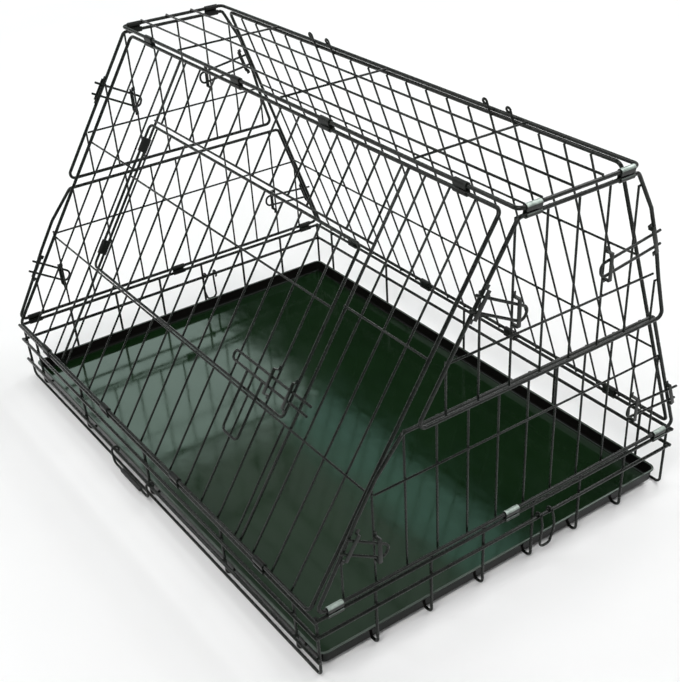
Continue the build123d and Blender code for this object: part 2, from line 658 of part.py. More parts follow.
def all_nodes():
    """Every named piece of the crate with its solids."""
    nodes = {}
    nodes["floor_long_wires"], nodes["floor_cross_wires"] = base_floor()
    nodes["right_uprights"] = end_uprights()
    nodes["left_uprights"] = mirrored(nodes["right_uprights"])
    nodes["front_uprights"] = side_uprights(UPRIGHT_FRONT_Y, 1)
    nodes["back_uprights"] = side_uprights(UPRIGHT_BACK_Y, -1)
    nodes["lip_rails"] = lip_rails()
    nodes["handle_rail"] = [long_rail(FRONT_Y, LOW_RAIL_HEIGHT)]
    nodes["front_wall_clips"] = wall_clips(FRONT_Y)
    nodes["back_wall_clips"] = wall_clips(BACK_Y)
    nodes["right_lower_clips"] = lower_clips()
    nodes["left_lower_clips"] = mirrored(nodes["right_lower_clips"])
    nodes["tray"] = [tray()]
    handle_wire, handle_grip = carry_handle()
    nodes["handle_bail"] = [handle_wire]
    nodes["handle_grip"] = [handle_grip]
    nodes["right_anchor_loop"] = [anchor_loop()]
    nodes["left_anchor_loop"] = mirrored(nodes["right_anchor_loop"])

    nodes["front_frame"] = frame(FRONT, panel_corners(FRONT_LENGTH), FRAME_WIRE)
    sides, low, high, jambs, lines = front_panel()
    nodes["front_side_mesh"] = sides
    nodes["front_lower_mesh"] = low
    nodes["front_upper_mesh"] = high
    nodes["door_jambs"] = jambs
    nodes["front_line_wires"] = lines
    nodes["door_frame"], nodes["door_mesh"] = door()
    nodes["door_clips"] = door_clips()
    nodes["door_bolt_guides"] = door_guides()
    bolt, grip = door_bolt()
    nodes["door_bolt"] = [bolt]
    nodes["door_bolt_grip"] = [grip]

    nodes["back_frame"] = frame(BACK, panel_corners(BACK_LENGTH), FRAME_WIRE)
    nodes["back_mesh"], nodes["back_hooks"], nodes["back_line_wires"] = back_panel()

    nodes["roof_frame"], nodes["roof_wires"] = roof()
    nodes["roof_clips"] = roof_clips()
    nodes["right_upper_clips"] = upper_clips()
    nodes["left_upper_clips"] = mirrored(nodes["right_upper_clips"])

    halves = {
        "upper": (UPPER_X, SPLIT_HEIGHT + SPLIT_GAP / 2, FRONT_TOP, False, UPPER_LINE, UPPER_BOLTS),
        "lower": (LOWER_X, HINGE_HEIGHT, SPLIT_HEIGHT - SPLIT_GAP / 2, True, LOWER_LINE, LOWER_BOLTS),
    }
    for half, sizes in halves.items():
        half_frame, mesh, sliders, guides = end_half(*sizes)
        for kind, pieces in (("frame", half_frame), ("mesh", mesh), ("guides", guides)):
            nodes[f"right_{half}_{kind}"] = pieces
            nodes[f"left_{half}_{kind}"] = mirrored(pieces)
        for edge, slider in sliders.items():
            nodes[f"right_{half}_{edge}_bolt"] = [slider]
            nodes[f"left_{half}_{edge}_bolt"] = mirrored([slider])
    return nodes


os.makedirs("parts", exist_ok=True)
for name, pieces in all_nodes().items():
    solids = [solid for piece in pieces for solid in piece.solids()]
    export_step(Compound(children=solids), f"parts/{name}.step")
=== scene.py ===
import json
import math

import bmesh
import bpy
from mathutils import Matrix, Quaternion, Vector
from mathutils.geometry import interpolate_bezier, intersect_line_line

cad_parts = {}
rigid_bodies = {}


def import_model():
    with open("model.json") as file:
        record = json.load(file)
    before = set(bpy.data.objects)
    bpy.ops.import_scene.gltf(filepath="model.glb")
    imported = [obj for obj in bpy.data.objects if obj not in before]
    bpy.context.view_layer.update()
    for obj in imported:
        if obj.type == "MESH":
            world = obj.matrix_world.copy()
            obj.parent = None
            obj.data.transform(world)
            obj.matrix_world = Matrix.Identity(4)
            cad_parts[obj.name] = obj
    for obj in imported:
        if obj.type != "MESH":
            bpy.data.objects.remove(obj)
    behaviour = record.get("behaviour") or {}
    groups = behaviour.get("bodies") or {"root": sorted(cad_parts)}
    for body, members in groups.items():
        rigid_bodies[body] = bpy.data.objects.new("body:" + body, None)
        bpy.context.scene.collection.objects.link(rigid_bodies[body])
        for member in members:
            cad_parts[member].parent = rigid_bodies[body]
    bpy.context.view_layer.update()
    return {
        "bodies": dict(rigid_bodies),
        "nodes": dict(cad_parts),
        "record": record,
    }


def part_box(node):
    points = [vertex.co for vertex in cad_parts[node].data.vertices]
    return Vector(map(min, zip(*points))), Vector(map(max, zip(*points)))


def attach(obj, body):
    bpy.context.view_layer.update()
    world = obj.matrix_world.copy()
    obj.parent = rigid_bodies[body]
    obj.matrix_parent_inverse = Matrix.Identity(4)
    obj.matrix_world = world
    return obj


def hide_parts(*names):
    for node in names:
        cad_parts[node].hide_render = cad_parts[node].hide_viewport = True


# A folding wire dog crate: round coated wires with their welds, rolled clips, folded straps, a ribbed grip
# and a green tray. Metres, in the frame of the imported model: +X to the right end, -Y to the door, +Z up.

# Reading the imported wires
MERGE = 1e-6  # corners closer than this are one
FLAT_ANGLE = 0.01  # faces that turn less than this, in radians, are one
CAP_CORNERS = 8
EVEN = 0.02  # how far the sides of a cap may differ, as a share
AHEAD = 0.4  # least share of an edge that leads along its wire
BEND_EDGE = 0.75  # a bend's first corner turns less than this share of its middle one
STRAIGHT = 0.02  # a run whose ends turn less than this, in radians, is straight

# Shading: edges that turn more than this, in degrees, are sharp
CREASE = 40.0
TRAY_CREASE = 50.0
GRIP_CREASE = 60.0
ALL_SMOOTH = 180.0

# Round wires
WIRE_SIDES = 14
BEND_PIECES = 4
ARC_PULL = 0.347  # handle of a bend's curve, as a share of its chord
END_SHAPE = ((0.0, 0.70), (0.10, 0.90), (0.32, 1.0))  # run and width at a free end, in radii
BUTT_GAP = 0.0001  # ends closer than this are butted

# Welds
WELD_GAP = (-0.0006, 0.0002)  # between two wires that count as welded where they cross
WELD_SHORTEST = 0.004  # a shorter run has no welds
WELD_SPREAD = 1.22
WELD_HEIGHT = 0.62
WELD_SUBDIVISIONS = 2

# Rolled clips
CLIP_SHEET = 0.0009
CLIP_STEPS = 14
CLIP_PINCH = 0.0009  # how far the sheet is pressed in between the two wires
CLIP_SEAM = 0.0028
# Clips whose upper sides get pale zinc as a painted highlight
TOP_HIGHLIGHT_CLIPS = ("right_lower_clips", "right_upper_clips")

# Folded straps
STRAP_SHARP = 30.0  # degrees
STRAP_BEVEL = 0.00022
STRAP_BEVEL_STEPS = 2

# Tray
TRAY_CORNER = 0.0125  # at the outside of the rim
TRAY_SMALLEST_CORNER = 0.003
TRAY_CORNER_STEPS = 8
TRAY_RIM = 0.0025
TRAY_RIM_STEPS = 8
TRAY_DRAFT = 0.002
TRAY_WALL = 0.0012
TRAY_FOOT = 0.0016  # rounding under the walls
TRAY_FILLET = 0.004
TRAY_FILLET_STEPS = 6
TRAY_EDGE = 0.006  # flat strip beside the fillets, which keeps the floor's shading flat
TRAY_HIGHLIGHT_BAND = 0.0006  # the top of the rim, which is painted pale as a highlight
TRAY_UPRIGHT = 0.97  # a face whose normal rises less than this belongs to the walls, which are painted darker as shade
WALL_INDEX = 1  # the walls' and the rim's places among the tray's materials
RIM_INDEX = 2

# Grip on the handle
GRIP_SIDES = 24
GRIP_RIBS = 15
GRIP_RIB = 0.00028
GRIP_STEPS_PER_RIB = 6
GRIP_ROUND = 0.0016
GRIP_DRAWN_IN = 0.6  # of the rounding, at the very ends

# Colours, linear
WHITE = (1.0, 1.0, 1.0)
WIRE_BLACK = (0.003, 0.004, 0.003)
WIRE_GREY = (0.010, 0.013, 0.010)
DIP_BLACK = (0.006, 0.007, 0.006)
# Black of the clips with a painted top highlight, a shade lighter as if lit
LIT_CLIP_BLACK = (0.010, 0.012, 0.010)
BARE_SPECK = (0.090, 0.105, 0.095)
# Pale zinc painted over those clips' upper sides as a highlight
ZINC_HIGHLIGHT_DULL = (0.20, 0.25, 0.22)
ZINC_HIGHLIGHT_BRIGHT = (0.52, 0.60, 0.55)
TRAY_GLEAM = (0.78, 1.0, 0.88)
RUBBER_BLACK = (0.010, 0.010, 0.010)
RUBBER_GREY = (0.026, 0.026, 0.025)
PAPER_DULL = (0.90, 0.90, 0.90)
PAPER_BRIGHT = (0.92, 0.92, 0.92)

# Deep colour, light colour and specular level of the tray's floor, of the top of its rim, which carries a
# pale band as a painted highlight, and of its walls, which are a darker copy of the enamel as painted
# shade
TRAY_LOOKS = {
    "tray_enamel": ((0.0030, 0.0118, 0.0030), (0.0058, 0.0195, 0.0056), 0.62),
    "tray_rim_painted_highlight": ((0.010, 0.016, 0.011), (0.105, 0.125, 0.110), 0.3),
    "tray_walls_painted_shade": ((0.0040, 0.0036, 0.0034), (0.0075, 0.0066, 0.0062), 0.12),
}

# Camera, matched to the photo
IMAGE = (680, 682)
CAMERA_EYE = (1.2371, -0.7531, 1.0059)
CAMERA_TARGET = (0.2448, -0.0461, 0.1308)
CAMERA_ROLL = -2.37  # degrees
FOCAL_PIXELS = 1101.9
CENTRE_PIXEL = (385.6, 437.8)
SENSOR = 36.0  # millimetres

# Stage
FLOOR_HALF = 14.0
FLOOR_DROP = 0.0004
FLOOR_GLOW = (2.9, 4.2)  # from where to where the floor takes on its own white
SKY = ((0.14, WHITE), (0.22, (0.018, 0.019, 0.018)))  # by the height of a direction
CEILING = 3.0
PALE = (0.87, 1.0, 0.97)
TEAL = (0.62, 1.0, 0.94)

# Overhead panels, which the tray mirrors: two corners, radiance and colour
PANELS = {
    "left_panel": ((-6.2, -0.4), (-3.9, 2.4), 1.75, PALE),
    "right_panel": ((-3.9, -2.5), (1.0, 2.05), 0.45, WHITE),
    "strip": ((-3.9, 2.05), (-1.0, 2.45), 0.85, TEAL),
}

# White lamps round the crate: place, target, size and watts
SOFTBOXES = {
    "front_right": ((2.8, -2.9, 4.8), (0.0, 0.0, 0.0), (3.0, 3.0), 200.0),
    "back_right": ((2.4, 3.4, 4.8), (-0.8, 1.2, 0.0), (3.0, 3.0), 95.0),
    "back": ((-1.2, 5.0, 5.2), (-1.6, 1.6, 0.0), (4.0, 2.5), 180.0),
    "left": ((-3.6, -2.4, 4.8), (-2.2, 0.6, 0.0), (2.5, 2.5), 90.0),
}

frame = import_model()
bodies = frame["record"]["behaviour"]["bodies"]
node_body = {node: body for body, nodes in bodies.items() for node in nodes}


# Materials

def new_material(name):
    """Material with a principled shader, its node tree and the shader."""
    material = bpy.data.materials.new(name)
    material.use_nodes = True
    tree = material.node_tree
    shader = tree.nodes["Principled BSDF"]
    return material, tree, shader


def noise(tree, scale, detail, roughness=0.5, stretch=(1, 1, 1)):
    """Noise over the object's own coordinates."""
    place = tree.nodes.new("ShaderNodeTexCoord")
    mapping = tree.nodes.new("ShaderNodeMapping")
    mapping.inputs["Scale"].default_value = stretch
    texture = tree.nodes.new("ShaderNodeTexNoise")
    texture.inputs["Scale"].default_value = scale
    texture.inputs["Detail"].default_value = detail
    texture.inputs["Roughness"].default_value = roughness
    tree.links.new(place.outputs["Object"], mapping.inputs["Vector"])
    tree.links.new(mapping.outputs["Vector"], texture.inputs["Vector"])
    return texture.outputs["Fac"]


def ramp(tree, source, stops):
    """Colours or greys along a value."""
    node = tree.nodes.new("ShaderNodeValToRGB")
    elements = node.color_ramp.elements
    while len(elements) < len(stops):
        elements.new(0.5)
    for element, (place, colour) in zip(elements, stops):
        element.position = place
        element.color = (*colour, 1.0) if isinstance(colour, tuple) else (colour, colour, colour, 1.0)
    tree.links.new(source, node.inputs["Fac"])
    return node.outputs["Color"]


def vary(tree, shader, socket, source, stops):
    """Feeds a socket of the shader with colours or greys along a value."""
    tree.links.new(ramp(tree, source, stops), shader.inputs[socket])


def bump(tree, shader, source, strength, distance):
    """Small relief from a value."""
    node = tree.nodes.new("ShaderNodeBump")
    node.inputs["Strength"].default_value = strength
    node.inputs["Distance"].default_value = distance
    tree.links.new(source, node.inputs["Height"])
    tree.links.new(node.outputs["Normal"], shader.inputs["Normal"])


def wire_enamel():
    """Black dipped enamel: glossy, a little uneven and greener in patches."""
    material, tree, shader = new_material("wire_enamel")
    patches = noise(tree, scale=55, detail=4)
    vary(tree, shader, "Base Color", patches, ((0.30, WIRE_BLACK), (0.75, WIRE_GREY)))
    gloss = noise(tree, scale=210, detail=3)
    vary(tree, shader, "Roughness", gloss, ((0.25, 0.18), (0.80, 0.36)))
    bump(tree, shader, noise(tree, scale=900, detail=2), strength=0.25, distance=0.0001)
    shader.inputs["Specular IOR Level"].default_value = 0.27
    return material


def clip_dipped():
    """Thin sheet under the wires' black dip, with the metal showing through in specks."""
    material, tree, shader = new_material("clip_dipped")
    specks = noise(tree, scale=520, detail=5, roughness=0.6)
    vary(tree, shader, "Base Color", specks, ((0.60, DIP_BLACK), (0.80, BARE_SPECK)))
    gloss = noise(tree, scale=210, detail=3)
    vary(tree, shader, "Roughness", gloss, ((0.25, 0.28), (0.80, 0.50)))
    bump(tree, shader, noise(tree, scale=900, detail=2), strength=0.25, distance=0.0001)
    shader.inputs["Specular IOR Level"].default_value = 0.2
    return material


def clip_top_highlight():
    """The same sheet with pale zinc painted over its upper side as a highlight, dark dip on its other
    sides, and rolling marks.
    """
    material, tree, shader = new_material("clip_top_highlight")
    patches = noise(tree, scale=160, detail=5)
    specks = noise(tree, scale=520, detail=5, roughness=0.6)
    zinc = ramp(tree, patches, ((0.25, ZINC_HIGHLIGHT_DULL), (0.80, ZINC_HIGHLIGHT_BRIGHT)))
    dip = ramp(tree, specks, ((0.60, LIT_CLIP_BLACK), (0.80, BARE_SPECK)))
    # Painted highlight: faces that look up get pale zinc, the others the dark dip
    place = tree.nodes.new("ShaderNodeTexCoord")
    split = tree.nodes.new("ShaderNodeSeparateXYZ")
    tree.links.new(place.outputs["Normal"], split.inputs["Vector"])
    lit_top = ramp(tree, split.outputs["Z"], ((0.10, 0.0), (0.55, 1.0)))
    mix = tree.nodes.new("ShaderNodeMix")
    mix.data_type = "RGBA"
    tree.links.new(lit_top, mix.inputs["Factor"])
    tree.links.new(dip, mix.inputs["A"])
    tree.links.new(zinc, mix.inputs["B"])
    tree.links.new(mix.outputs["Result"], shader.inputs["Base Color"])
    shader.inputs["Metallic"].default_value = 0.3
    gloss = noise(tree, scale=420, detail=3, stretch=(0.15, 1, 1))
    vary(tree, shader, "Roughness", gloss, ((0.25, 0.22), (0.80, 0.48)))
    marks = noise(tree, scale=1300, detail=3, stretch=(0.2, 1, 1))
    bump(tree, shader, marks, strength=0.35, distance=0.0001)
    return material


def tray_enamel(name, deep, light, specular):
    """Gloss enamel on pressed sheet, with faint waves and wiped smears."""
    material, tree, shader = new_material(name)
    clouds = noise(tree, scale=7, detail=6, roughness=0.62)
    vary(tree, shader, "Base Color", clouds, ((0.25, deep), (0.75, light)))
    smears = noise(tree, scale=16, detail=7, roughness=0.66, stretch=(1, 2.2, 1))
    vary(tree, shader, "Roughness", smears, ((0.30, 0.06), (0.78, 0.15)))
    bump(tree, shader, noise(tree, scale=9, detail=3), strength=0.10, distance=0.004)
    shader.inputs["Specular IOR Level"].default_value = specular
    shader.inputs["Specular Tint"].default_value = (*TRAY_GLEAM, 1.0)
    return material


def grip_rubber():
    """Matt black rubber with a fine grain."""
    material, tree, shader = new_material("grip_rubber")
    patches = noise(tree, scale=240, detail=4)
    vary(tree, shader, "Base Color", patches, ((0.3, RUBBER_BLACK), (0.8, RUBBER_GREY)))
    gloss = noise(tree, scale=600, detail=3)
    vary(tree, shader, "Roughness", gloss, ((0.3, 0.55), (0.8, 0.80)))
    bump(tree, shader, noise(tree, scale=2400, detail=2), strength=0.4, distance=0.0001)
    return material


MATERIALS = {
    "wire_enamel": wire_enamel(),
    "clip_sheet": clip_dipped(),
    "clip_top_highlight": clip_top_highlight(),
    **{name: tray_enamel(name, *look) for name, look in TRAY_LOOKS.items()},
    "grip_rubber": grip_rubber(),
}


# Meshes

def new_piece(name, verts, faces, slot, body, crease=CREASE, look=None):
    """Object with a smooth mesh that rides on a body; its look is the slot's own if no other is given."""
    mesh = bpy.data.meshes.new(name)
    mesh.from_pydata([tuple(vert) for vert in verts], [], faces)
    work = bmesh.new()
    work.from_mesh(mesh)
    bmesh.ops.recalc_face_normals(work, faces=work.faces)
    return finish_piece(name, mesh, work, slot, body, crease, look)


def finish_piece(name, mesh, work, slot, body, crease=CREASE, look=None):
    """Writes a worked mesh back and sets its shading, material and body; the material is the slot's own
    unless a look is given.
    """
    work.to_mesh(mesh)
    work.free()
    mesh.shade_smooth()
    mesh.set_sharp_from_angle(angle=math.radians(crease))
    mesh.materials.append(MATERIALS[look or slot])
    piece = bpy.data.objects.new(name, mesh)
    bpy.context.scene.collection.objects.link(piece)
    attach(piece, body)
    return piece


def whole_faces(node):
    """The node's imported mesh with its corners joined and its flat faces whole."""
    work = bmesh.new()
    work.from_mesh(frame["nodes"][node].data)
    bmesh.ops.remove_doubles(work, verts=work.verts, dist=MERGE)
    bmesh.ops.dissolve_limit(work, angle_limit=FLAT_ANGLE, verts=work.verts, edges=work.edges)
    work.normal_update()
    return work


def solids(work):
    """Connected groups of vertices, in the mesh's own order, so that each run gives the same."""
    groups = []
    found = set()
    for start in work.verts:
        if start in found:
            continue
        found.add(start)
        group = [start]
        for vert in group:  # the group grows as it is walked
            for edge in vert.link_edges:
                other = edge.other_vert(vert)
                if other not in found:
                    found.add(other)
                    group.append(other)
        groups.append(group)
    return groups


def middle(verts):
    """Mean place of some vertices."""
    return sum((vert.co for vert in verts), Vector()) / len(verts)


def headings(line):
    """Way of a line at each of its points: the mean of the runs beside it."""
    runs = [(after - before).normalized() for before, after in zip(line, line[1:])]
    return [runs[0]] + [(a + b).normalized() for a, b in zip(runs, runs[1:])] + [runs[-1]]


def arc(centre, radius, start, end, steps):
    """Points along part of a circle, angles in degrees."""
    turns = [math.radians(start + (end - start) * step / steps) for step in range(steps + 1)]
    x, y = centre
    return [(x + radius * math.cos(turn), y + radius * math.sin(turn)) for turn in turns]


def ring(centre, along, across, radius, sides):
    """Circle of points square to a direction."""
    other = along.cross(across)
    turns = [2 * math.pi * side / sides for side in range(sides)]
    return [centre + (across * math.cos(turn) + other * math.sin(turn)) * radius for turn in turns]


def skin(verts, faces, rings, looped=False):
    """Adds a closed tube through rings of equal size: with flat ends, or joined end to end."""
    sides = len(rings[0])
    first = len(verts)
    for points in rings:
        verts.extend(points)
    count = len(rings)
    for level in range(count if looped else count - 1):
        low = first + level * sides
        high = first + (level + 1) % count * sides
        for side in range(sides):
            next_side = (side + 1) % sides
            faces.append((low + side, low + next_side, high + next_side, high + side))
    if not looped:
        faces.append(tuple(range(first, first + sides)))
        faces.append(tuple(range(len(verts) - sides, len(verts))))


# Wires

def is_cap(face):
    """Whether a face is the flat end of a wire: eight even sides."""
    if len(face.verts) != CAP_CORNERS:
        return False
    lengths = [edge.calc_length() for edge in face.edges]
    return max(lengths) - min(lengths) < EVEN * max(lengths)


def next_ring(corners, heading):
    """The corners that follow a ring of corners along a wire, or none at its end."""
    following = []
    for vert in corners:
        best, best_share = None, AHEAD
        for edge in vert.link_edges:
            other = edge.other_vert(vert)
            share = (other.co - vert.co).normalized().dot(heading)
            if share > best_share:
                best, best_share = other, share
        if best is None:
            return []
        following.append(best)
    return following


def walk_wire(cap):
    """Points along the middle of a packed wire, ring by ring from a flat end, and the corners passed."""
    corners = list(cap.verts)
    points = [middle(corners)]
    heading = -cap.normal
    walked = set(corners)
    while True:
        corners = next_ring(corners, heading)
        if not corners:
            return points, walked
        points.append(middle(corners))
        if corners[0] in walked:
            return points, walked
        heading = (points[-1] - points[-2]).normalized()
        walked.update(corners)


def read_wires(node):
    """Every wire of a node as its line and radius; the line of a closed frame ends where it starts."""
    work = whole_faces(node)
    caps = [face for face in work.faces if is_cap(face)]
    caps.sort(key=lambda cap: sum(len(vert.link_edges) for vert in cap.verts))
    wires = []
    done = set()
    for cap in caps:
        if done.issuperset(cap.verts):
            continue
        points, walked = walk_wire(cap)
        done |= walked
        side = cap.edges[0]
        radius = ((side.verts[0].co + side.verts[1].co) / 2 - points[0]).length
        wires.append((points, radius))
    work.free()
    return wires


def directions(points):
    """Way of the wire at each point: a bend's ends follow the straight runs beside it."""
    runs = [(after - before).normalized() for before, after in zip(points, points[1:])]
    turns = [0.0] + [first.angle(second) for first, second in zip(runs, runs[1:])] + [0.0]
    ways = [runs[0]]
    for place in range(1, len(runs)):
        if turns[place] < BEND_EDGE * turns[place + 1]:
            ways.append(runs[place - 1])
        elif turns[place] < BEND_EDGE * turns[place - 1]:
            ways.append(runs[place])
        else:
            ways.append((runs[place - 1] + runs[place]).normalized())
    return ways + [runs[-1]]


def rounded_line(points):
    """The wire's line with its bends made round."""
    ways = directions(points)
    line = [points[0]]
    for place, (start, end) in enumerate(zip(points, points[1:])):
        chord = end - start
        if max(chord.angle(ways[place]), chord.angle(ways[place + 1])) > STRAIGHT:
            pull = chord.length * ARC_PULL
            first = start + ways[place] * pull
            last = end - ways[place + 1] * pull
            line.extend(interpolate_bezier(start, first, last, end, BEND_PIECES + 1)[1:-1])
        line.append(end)
    return line


def add_wire(verts, faces, points, radius, butted):
    """Adds one round wire to a mesh; a free end is rounded over and a butted one is square."""
    line = rounded_line(points)
    if not butted[0]:
        way = (line[1] - line[0]).normalized()
        line[:1] = [line[0] + way * run * radius for run, width in END_SHAPE]
    if not butted[1]:
        way = (line[-2] - line[-1]).normalized()
        line[-1:] = [line[-1] + way * run * radius for run, width in reversed(END_SHAPE)]
    widths = [1.0] * len(line)
    for place, (run, width) in enumerate(END_SHAPE):
        if not butted[0]:
            widths[place] = width
        if not butted[1]:
            widths[-1 - place] = width
    ways = headings(line)
    across = ways[0].orthogonal().normalized()
    rings = []
    for place, centre in enumerate(line):
        if place:
            across = ways[place - 1].rotation_difference(ways[place]) @ across
        rings.append(ring(centre, ways[place], across, radius * widths[place], WIRE_SIDES))
    looped = (points[0] - points[-1]).length < MERGE
    skin(verts, faces, rings[:-1] if looped else rings, looped)


def wire_pieces(wires_of):
    """Round wires for every wire node."""
    ends = [line[place] for wires in wires_of.values() for line, radius in wires for place in (0, -1)]
    for node, wires in wires_of.items():
        verts, faces = [], []
        for line, radius in wires:
            butted = [
                sum((end - line[place]).length < BUTT_GAP for end in ends) > 1 for place in (0, -1)
            ]
            add_wire(verts, faces, line, radius, butted)
        piece = new_piece(f"{node}_round", verts, faces, "wire_enamel", node_body[node])
        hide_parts(node)


# Welds

def runs_of(wires_of, body):
    """Straight runs of a body's wires, each with the wire's own number and radius."""
    runs = []
    for node, wires in wires_of.items():
        if node_body[node] != body:
            continue
        for number, (line, radius) in enumerate(wires):
            for start, end in zip(line, line[1:]):
                if (end - start).length > WELD_SHORTEST:
                    runs.append(((node, number), start, end, radius))
    return runs


def nearest_points(first, second):
    """Nearest points of two straight runs that cross, or none if they pass each other by."""
    pair = intersect_line_line(first[1], first[2], second[1], second[2])
    if pair is None:
        return None
    for point, (_, start, end, _) in zip(pair, (first, second)):
        share = (point - start).dot(end - start) / (end - start).length_squared
        slack = WELD_SHORTEST / (end - start).length
        if not -slack < share < 1 + slack:
            return None
    return pair


def weld_places(runs):
    """Where two wires of one body touch: the place, the way between them and the thinner radius."""
    places = []
    for index, first in enumerate(runs):
        for second in runs[:index]:
            if first[0] == second[0]:
                continue
            pair = nearest_points(first, second)
            if pair is None:
                continue
            apart = pair[1] - pair[0]
            gap = apart.length - first[3] - second[3]
            if WELD_GAP[0] < gap < WELD_GAP[1]:
                centre = pair[0] + apart.normalized() * (first[3] + gap / 2)
                places.append((centre, apart.normalized(), min(first[3], second[3])))
    return places


def add_bead(work, centre, way, radius):
    """Adds one squeezed bead to a mesh."""
    ball = bmesh.ops.create_icosphere(work, subdivisions=WELD_SUBDIVISIONS, radius=radius)
    turn = Vector((0, 0, 1)).rotation_difference(way)
    for vert in ball["verts"]:
        x, y, z = vert.co
        squeezed = Vector((x * WELD_SPREAD, y * WELD_SPREAD, z * WELD_HEIGHT))
        vert.co = turn @ squeezed + centre


def weld_pieces(wires_of):
    """Small squeezed beads where wires cross, one mesh for each body."""
    for body in frame["bodies"]:
        places = weld_places(runs_of(wires_of, body))
        if not places:
            continue
        work = bmesh.new()
        for place in places:
            add_bead(work, *place)
        name = f"{body}_welds"
        finish_piece(name, bpy.data.meshes.new(name), work, "wire_enamel", body, ALL_SMOOTH)


# Clips and straps

def clip_section(span, radius):
    """Line of a rolled sheet round two wires, open at its seam, in its own plane."""
    half = span / 2 - radius
    line = [(0.0, radius - CLIP_PINCH)]
    line += arc((half, 0.0), radius, 90.0, -90.0, CLIP_STEPS)
    line.append((0.0, CLIP_PINCH - radius))
    line += arc((-half, 0.0), radius, -90.0, -270.0, CLIP_STEPS)
    line.append((-CLIP_SEAM, radius - CLIP_PINCH / 2))
    return line


def add_clip(verts, faces, centre, along, span_way, length, span, thickness):
    """Adds one clip: a sheet of even thickness rolled along its section."""
    out = along.cross(span_way)
    radius = (thickness - CLIP_SHEET) / 2
    line = [Vector((x, y, 0)) for x, y in clip_section(span - CLIP_SHEET, radius)]
    offsets = [Vector((-way.y, way.x, 0)) * CLIP_SHEET / 2 for way in headings(line)]
    one_side = [point + offset for point, offset in zip(line, offsets)]
    other_side = [point - offset for point, offset in zip(line, offsets)]
    outline = one_side + other_side[::-1]
    first = len(verts)
    count = len(outline)
    for end in (-length / 2, length / 2):
        verts.extend(centre + along * end + span_way * point.x + out * point.y for point in outline)
    for place in range(count):
        beside = (place + 1) % count
        faces.append((first + place, first + beside, first + count + beside, first + count + place))
    for level in (first, first + count):
        for place in range(len(line) - 1):
            far = count - 1 - place
            faces.append((level + place, level + place + 1, level + far - 1, level + far))


def sleeve_ways(group):
    """Middle, ways and sizes of a sleeve: along it, across the wider side of it, and through it."""
    edges = [edge for vert in group for edge in vert.link_edges]
    longest = max(edges, key=lambda edge: edge.calc_length())
    along = (longest.verts[1].co - longest.verts[0].co).normalized()
    first = along.orthogonal().normalized()
    second = along.cross(first)
    centre = middle(group)
    flat = [((vert.co - centre).dot(first), (vert.co - centre).dot(second)) for vert in group]
    mixed = sum(x * y for x, y in flat)
    apart = sum(x * x - y * y for x, y in flat)
    turn = math.atan2(2 * mixed, apart) / 2
    span_way = first * math.cos(turn) + second * math.sin(turn)
    ways = (along, span_way, along.cross(span_way))
    reaches = [[vert.co.dot(way) for vert in group] for way in ways]
    centre = sum((way * (max(reach) + min(reach)) / 2 for way, reach in zip(ways, reaches)), Vector())
    return centre, ways, [max(reach) - min(reach) for reach in reaches]


def clip_pieces(nodes):
    """Rolled clips for every clip node."""
    for node in nodes:
        work = whole_faces(node)
        verts, faces = [], []
        for group in solids(work):
            centre, ways, sizes = sleeve_ways(group)
            add_clip(verts, faces, centre, ways[0], ways[1], *sizes)
        work.free()
        # The listed clips get the painted top highlight, the rest the plain dipped sheet
        look = "clip_top_highlight" if node in TOP_HIGHLIGHT_CLIPS else "clip_sheet"
        piece = new_piece(f"{node}_rolled", verts, faces, "clip_sheet", node_body[node], look=look)
        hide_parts(node)


def strap_pieces(nodes):
    """Straps with their cut edges broken."""
    for node in nodes:
        work = whole_faces(node)
        edges = [edge for edge in work.edges if edge.calc_face_angle(0.0) > math.radians(STRAP_SHARP)]
        bmesh.ops.bevel(
            work, geom=edges, offset=STRAP_BEVEL, segments=STRAP_BEVEL_STEPS, affect="EDGES", profile=0.5
        )
        name = f"{node}_folded"
        piece = finish_piece(name, bpy.data.meshes.new(name), work, "wire_enamel", node_body[node])
        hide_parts(node)


# Tray

def rounded_loop(half_x, half_y, radius, centre, height):
    """Points round a rectangle with round corners."""
    points = []
    for number, (side_x, side_y) in enumerate(((1, 1), (-1, 1), (-1, -1), (1, -1))):
        corner = Vector((side_x * (half_x - radius), side_y * (half_y - radius), 0))
        for step in range(TRAY_CORNER_STEPS + 1):
            turn = math.radians(90.0 * (number + step / TRAY_CORNER_STEPS))
            spoke = Vector((math.cos(turn), math.sin(turn), 0)) * radius
            points.append(Vector((centre.x, centre.y, height)) + corner + spoke)
    return points


def tray_profile(height):
    """Inset from the rim and height: the underside, up the wall, round the rim and down to the floor."""
    roll = TRAY_RIM / 2
    outside = TRAY_RIM + TRAY_DRAFT
    inside = outside + TRAY_WALL
    lip = TRAY_RIM + TRAY_WALL - TRAY_FOOT / 2
    profile = [(outside + TRAY_FOOT + TRAY_EDGE, 0.0)]
    profile += arc((outside + TRAY_FOOT, TRAY_FOOT), TRAY_FOOT, 270.0, 180.0, TRAY_FILLET_STEPS)
    profile.append((TRAY_RIM, height - TRAY_RIM))
    profile += arc((roll, height - roll), roll, 270.0, 90.0, TRAY_RIM_STEPS)
    profile += arc((lip, height - TRAY_FOOT / 2), TRAY_FOOT / 2, 90.0, 0.0, TRAY_FILLET_STEPS)
    hollow = (inside + TRAY_FILLET, TRAY_WALL + TRAY_FILLET)
    profile += arc(hollow, TRAY_FILLET, 180.0, 270.0, TRAY_FILLET_STEPS)
    return profile + [(hollow[0] + TRAY_EDGE, TRAY_WALL)]


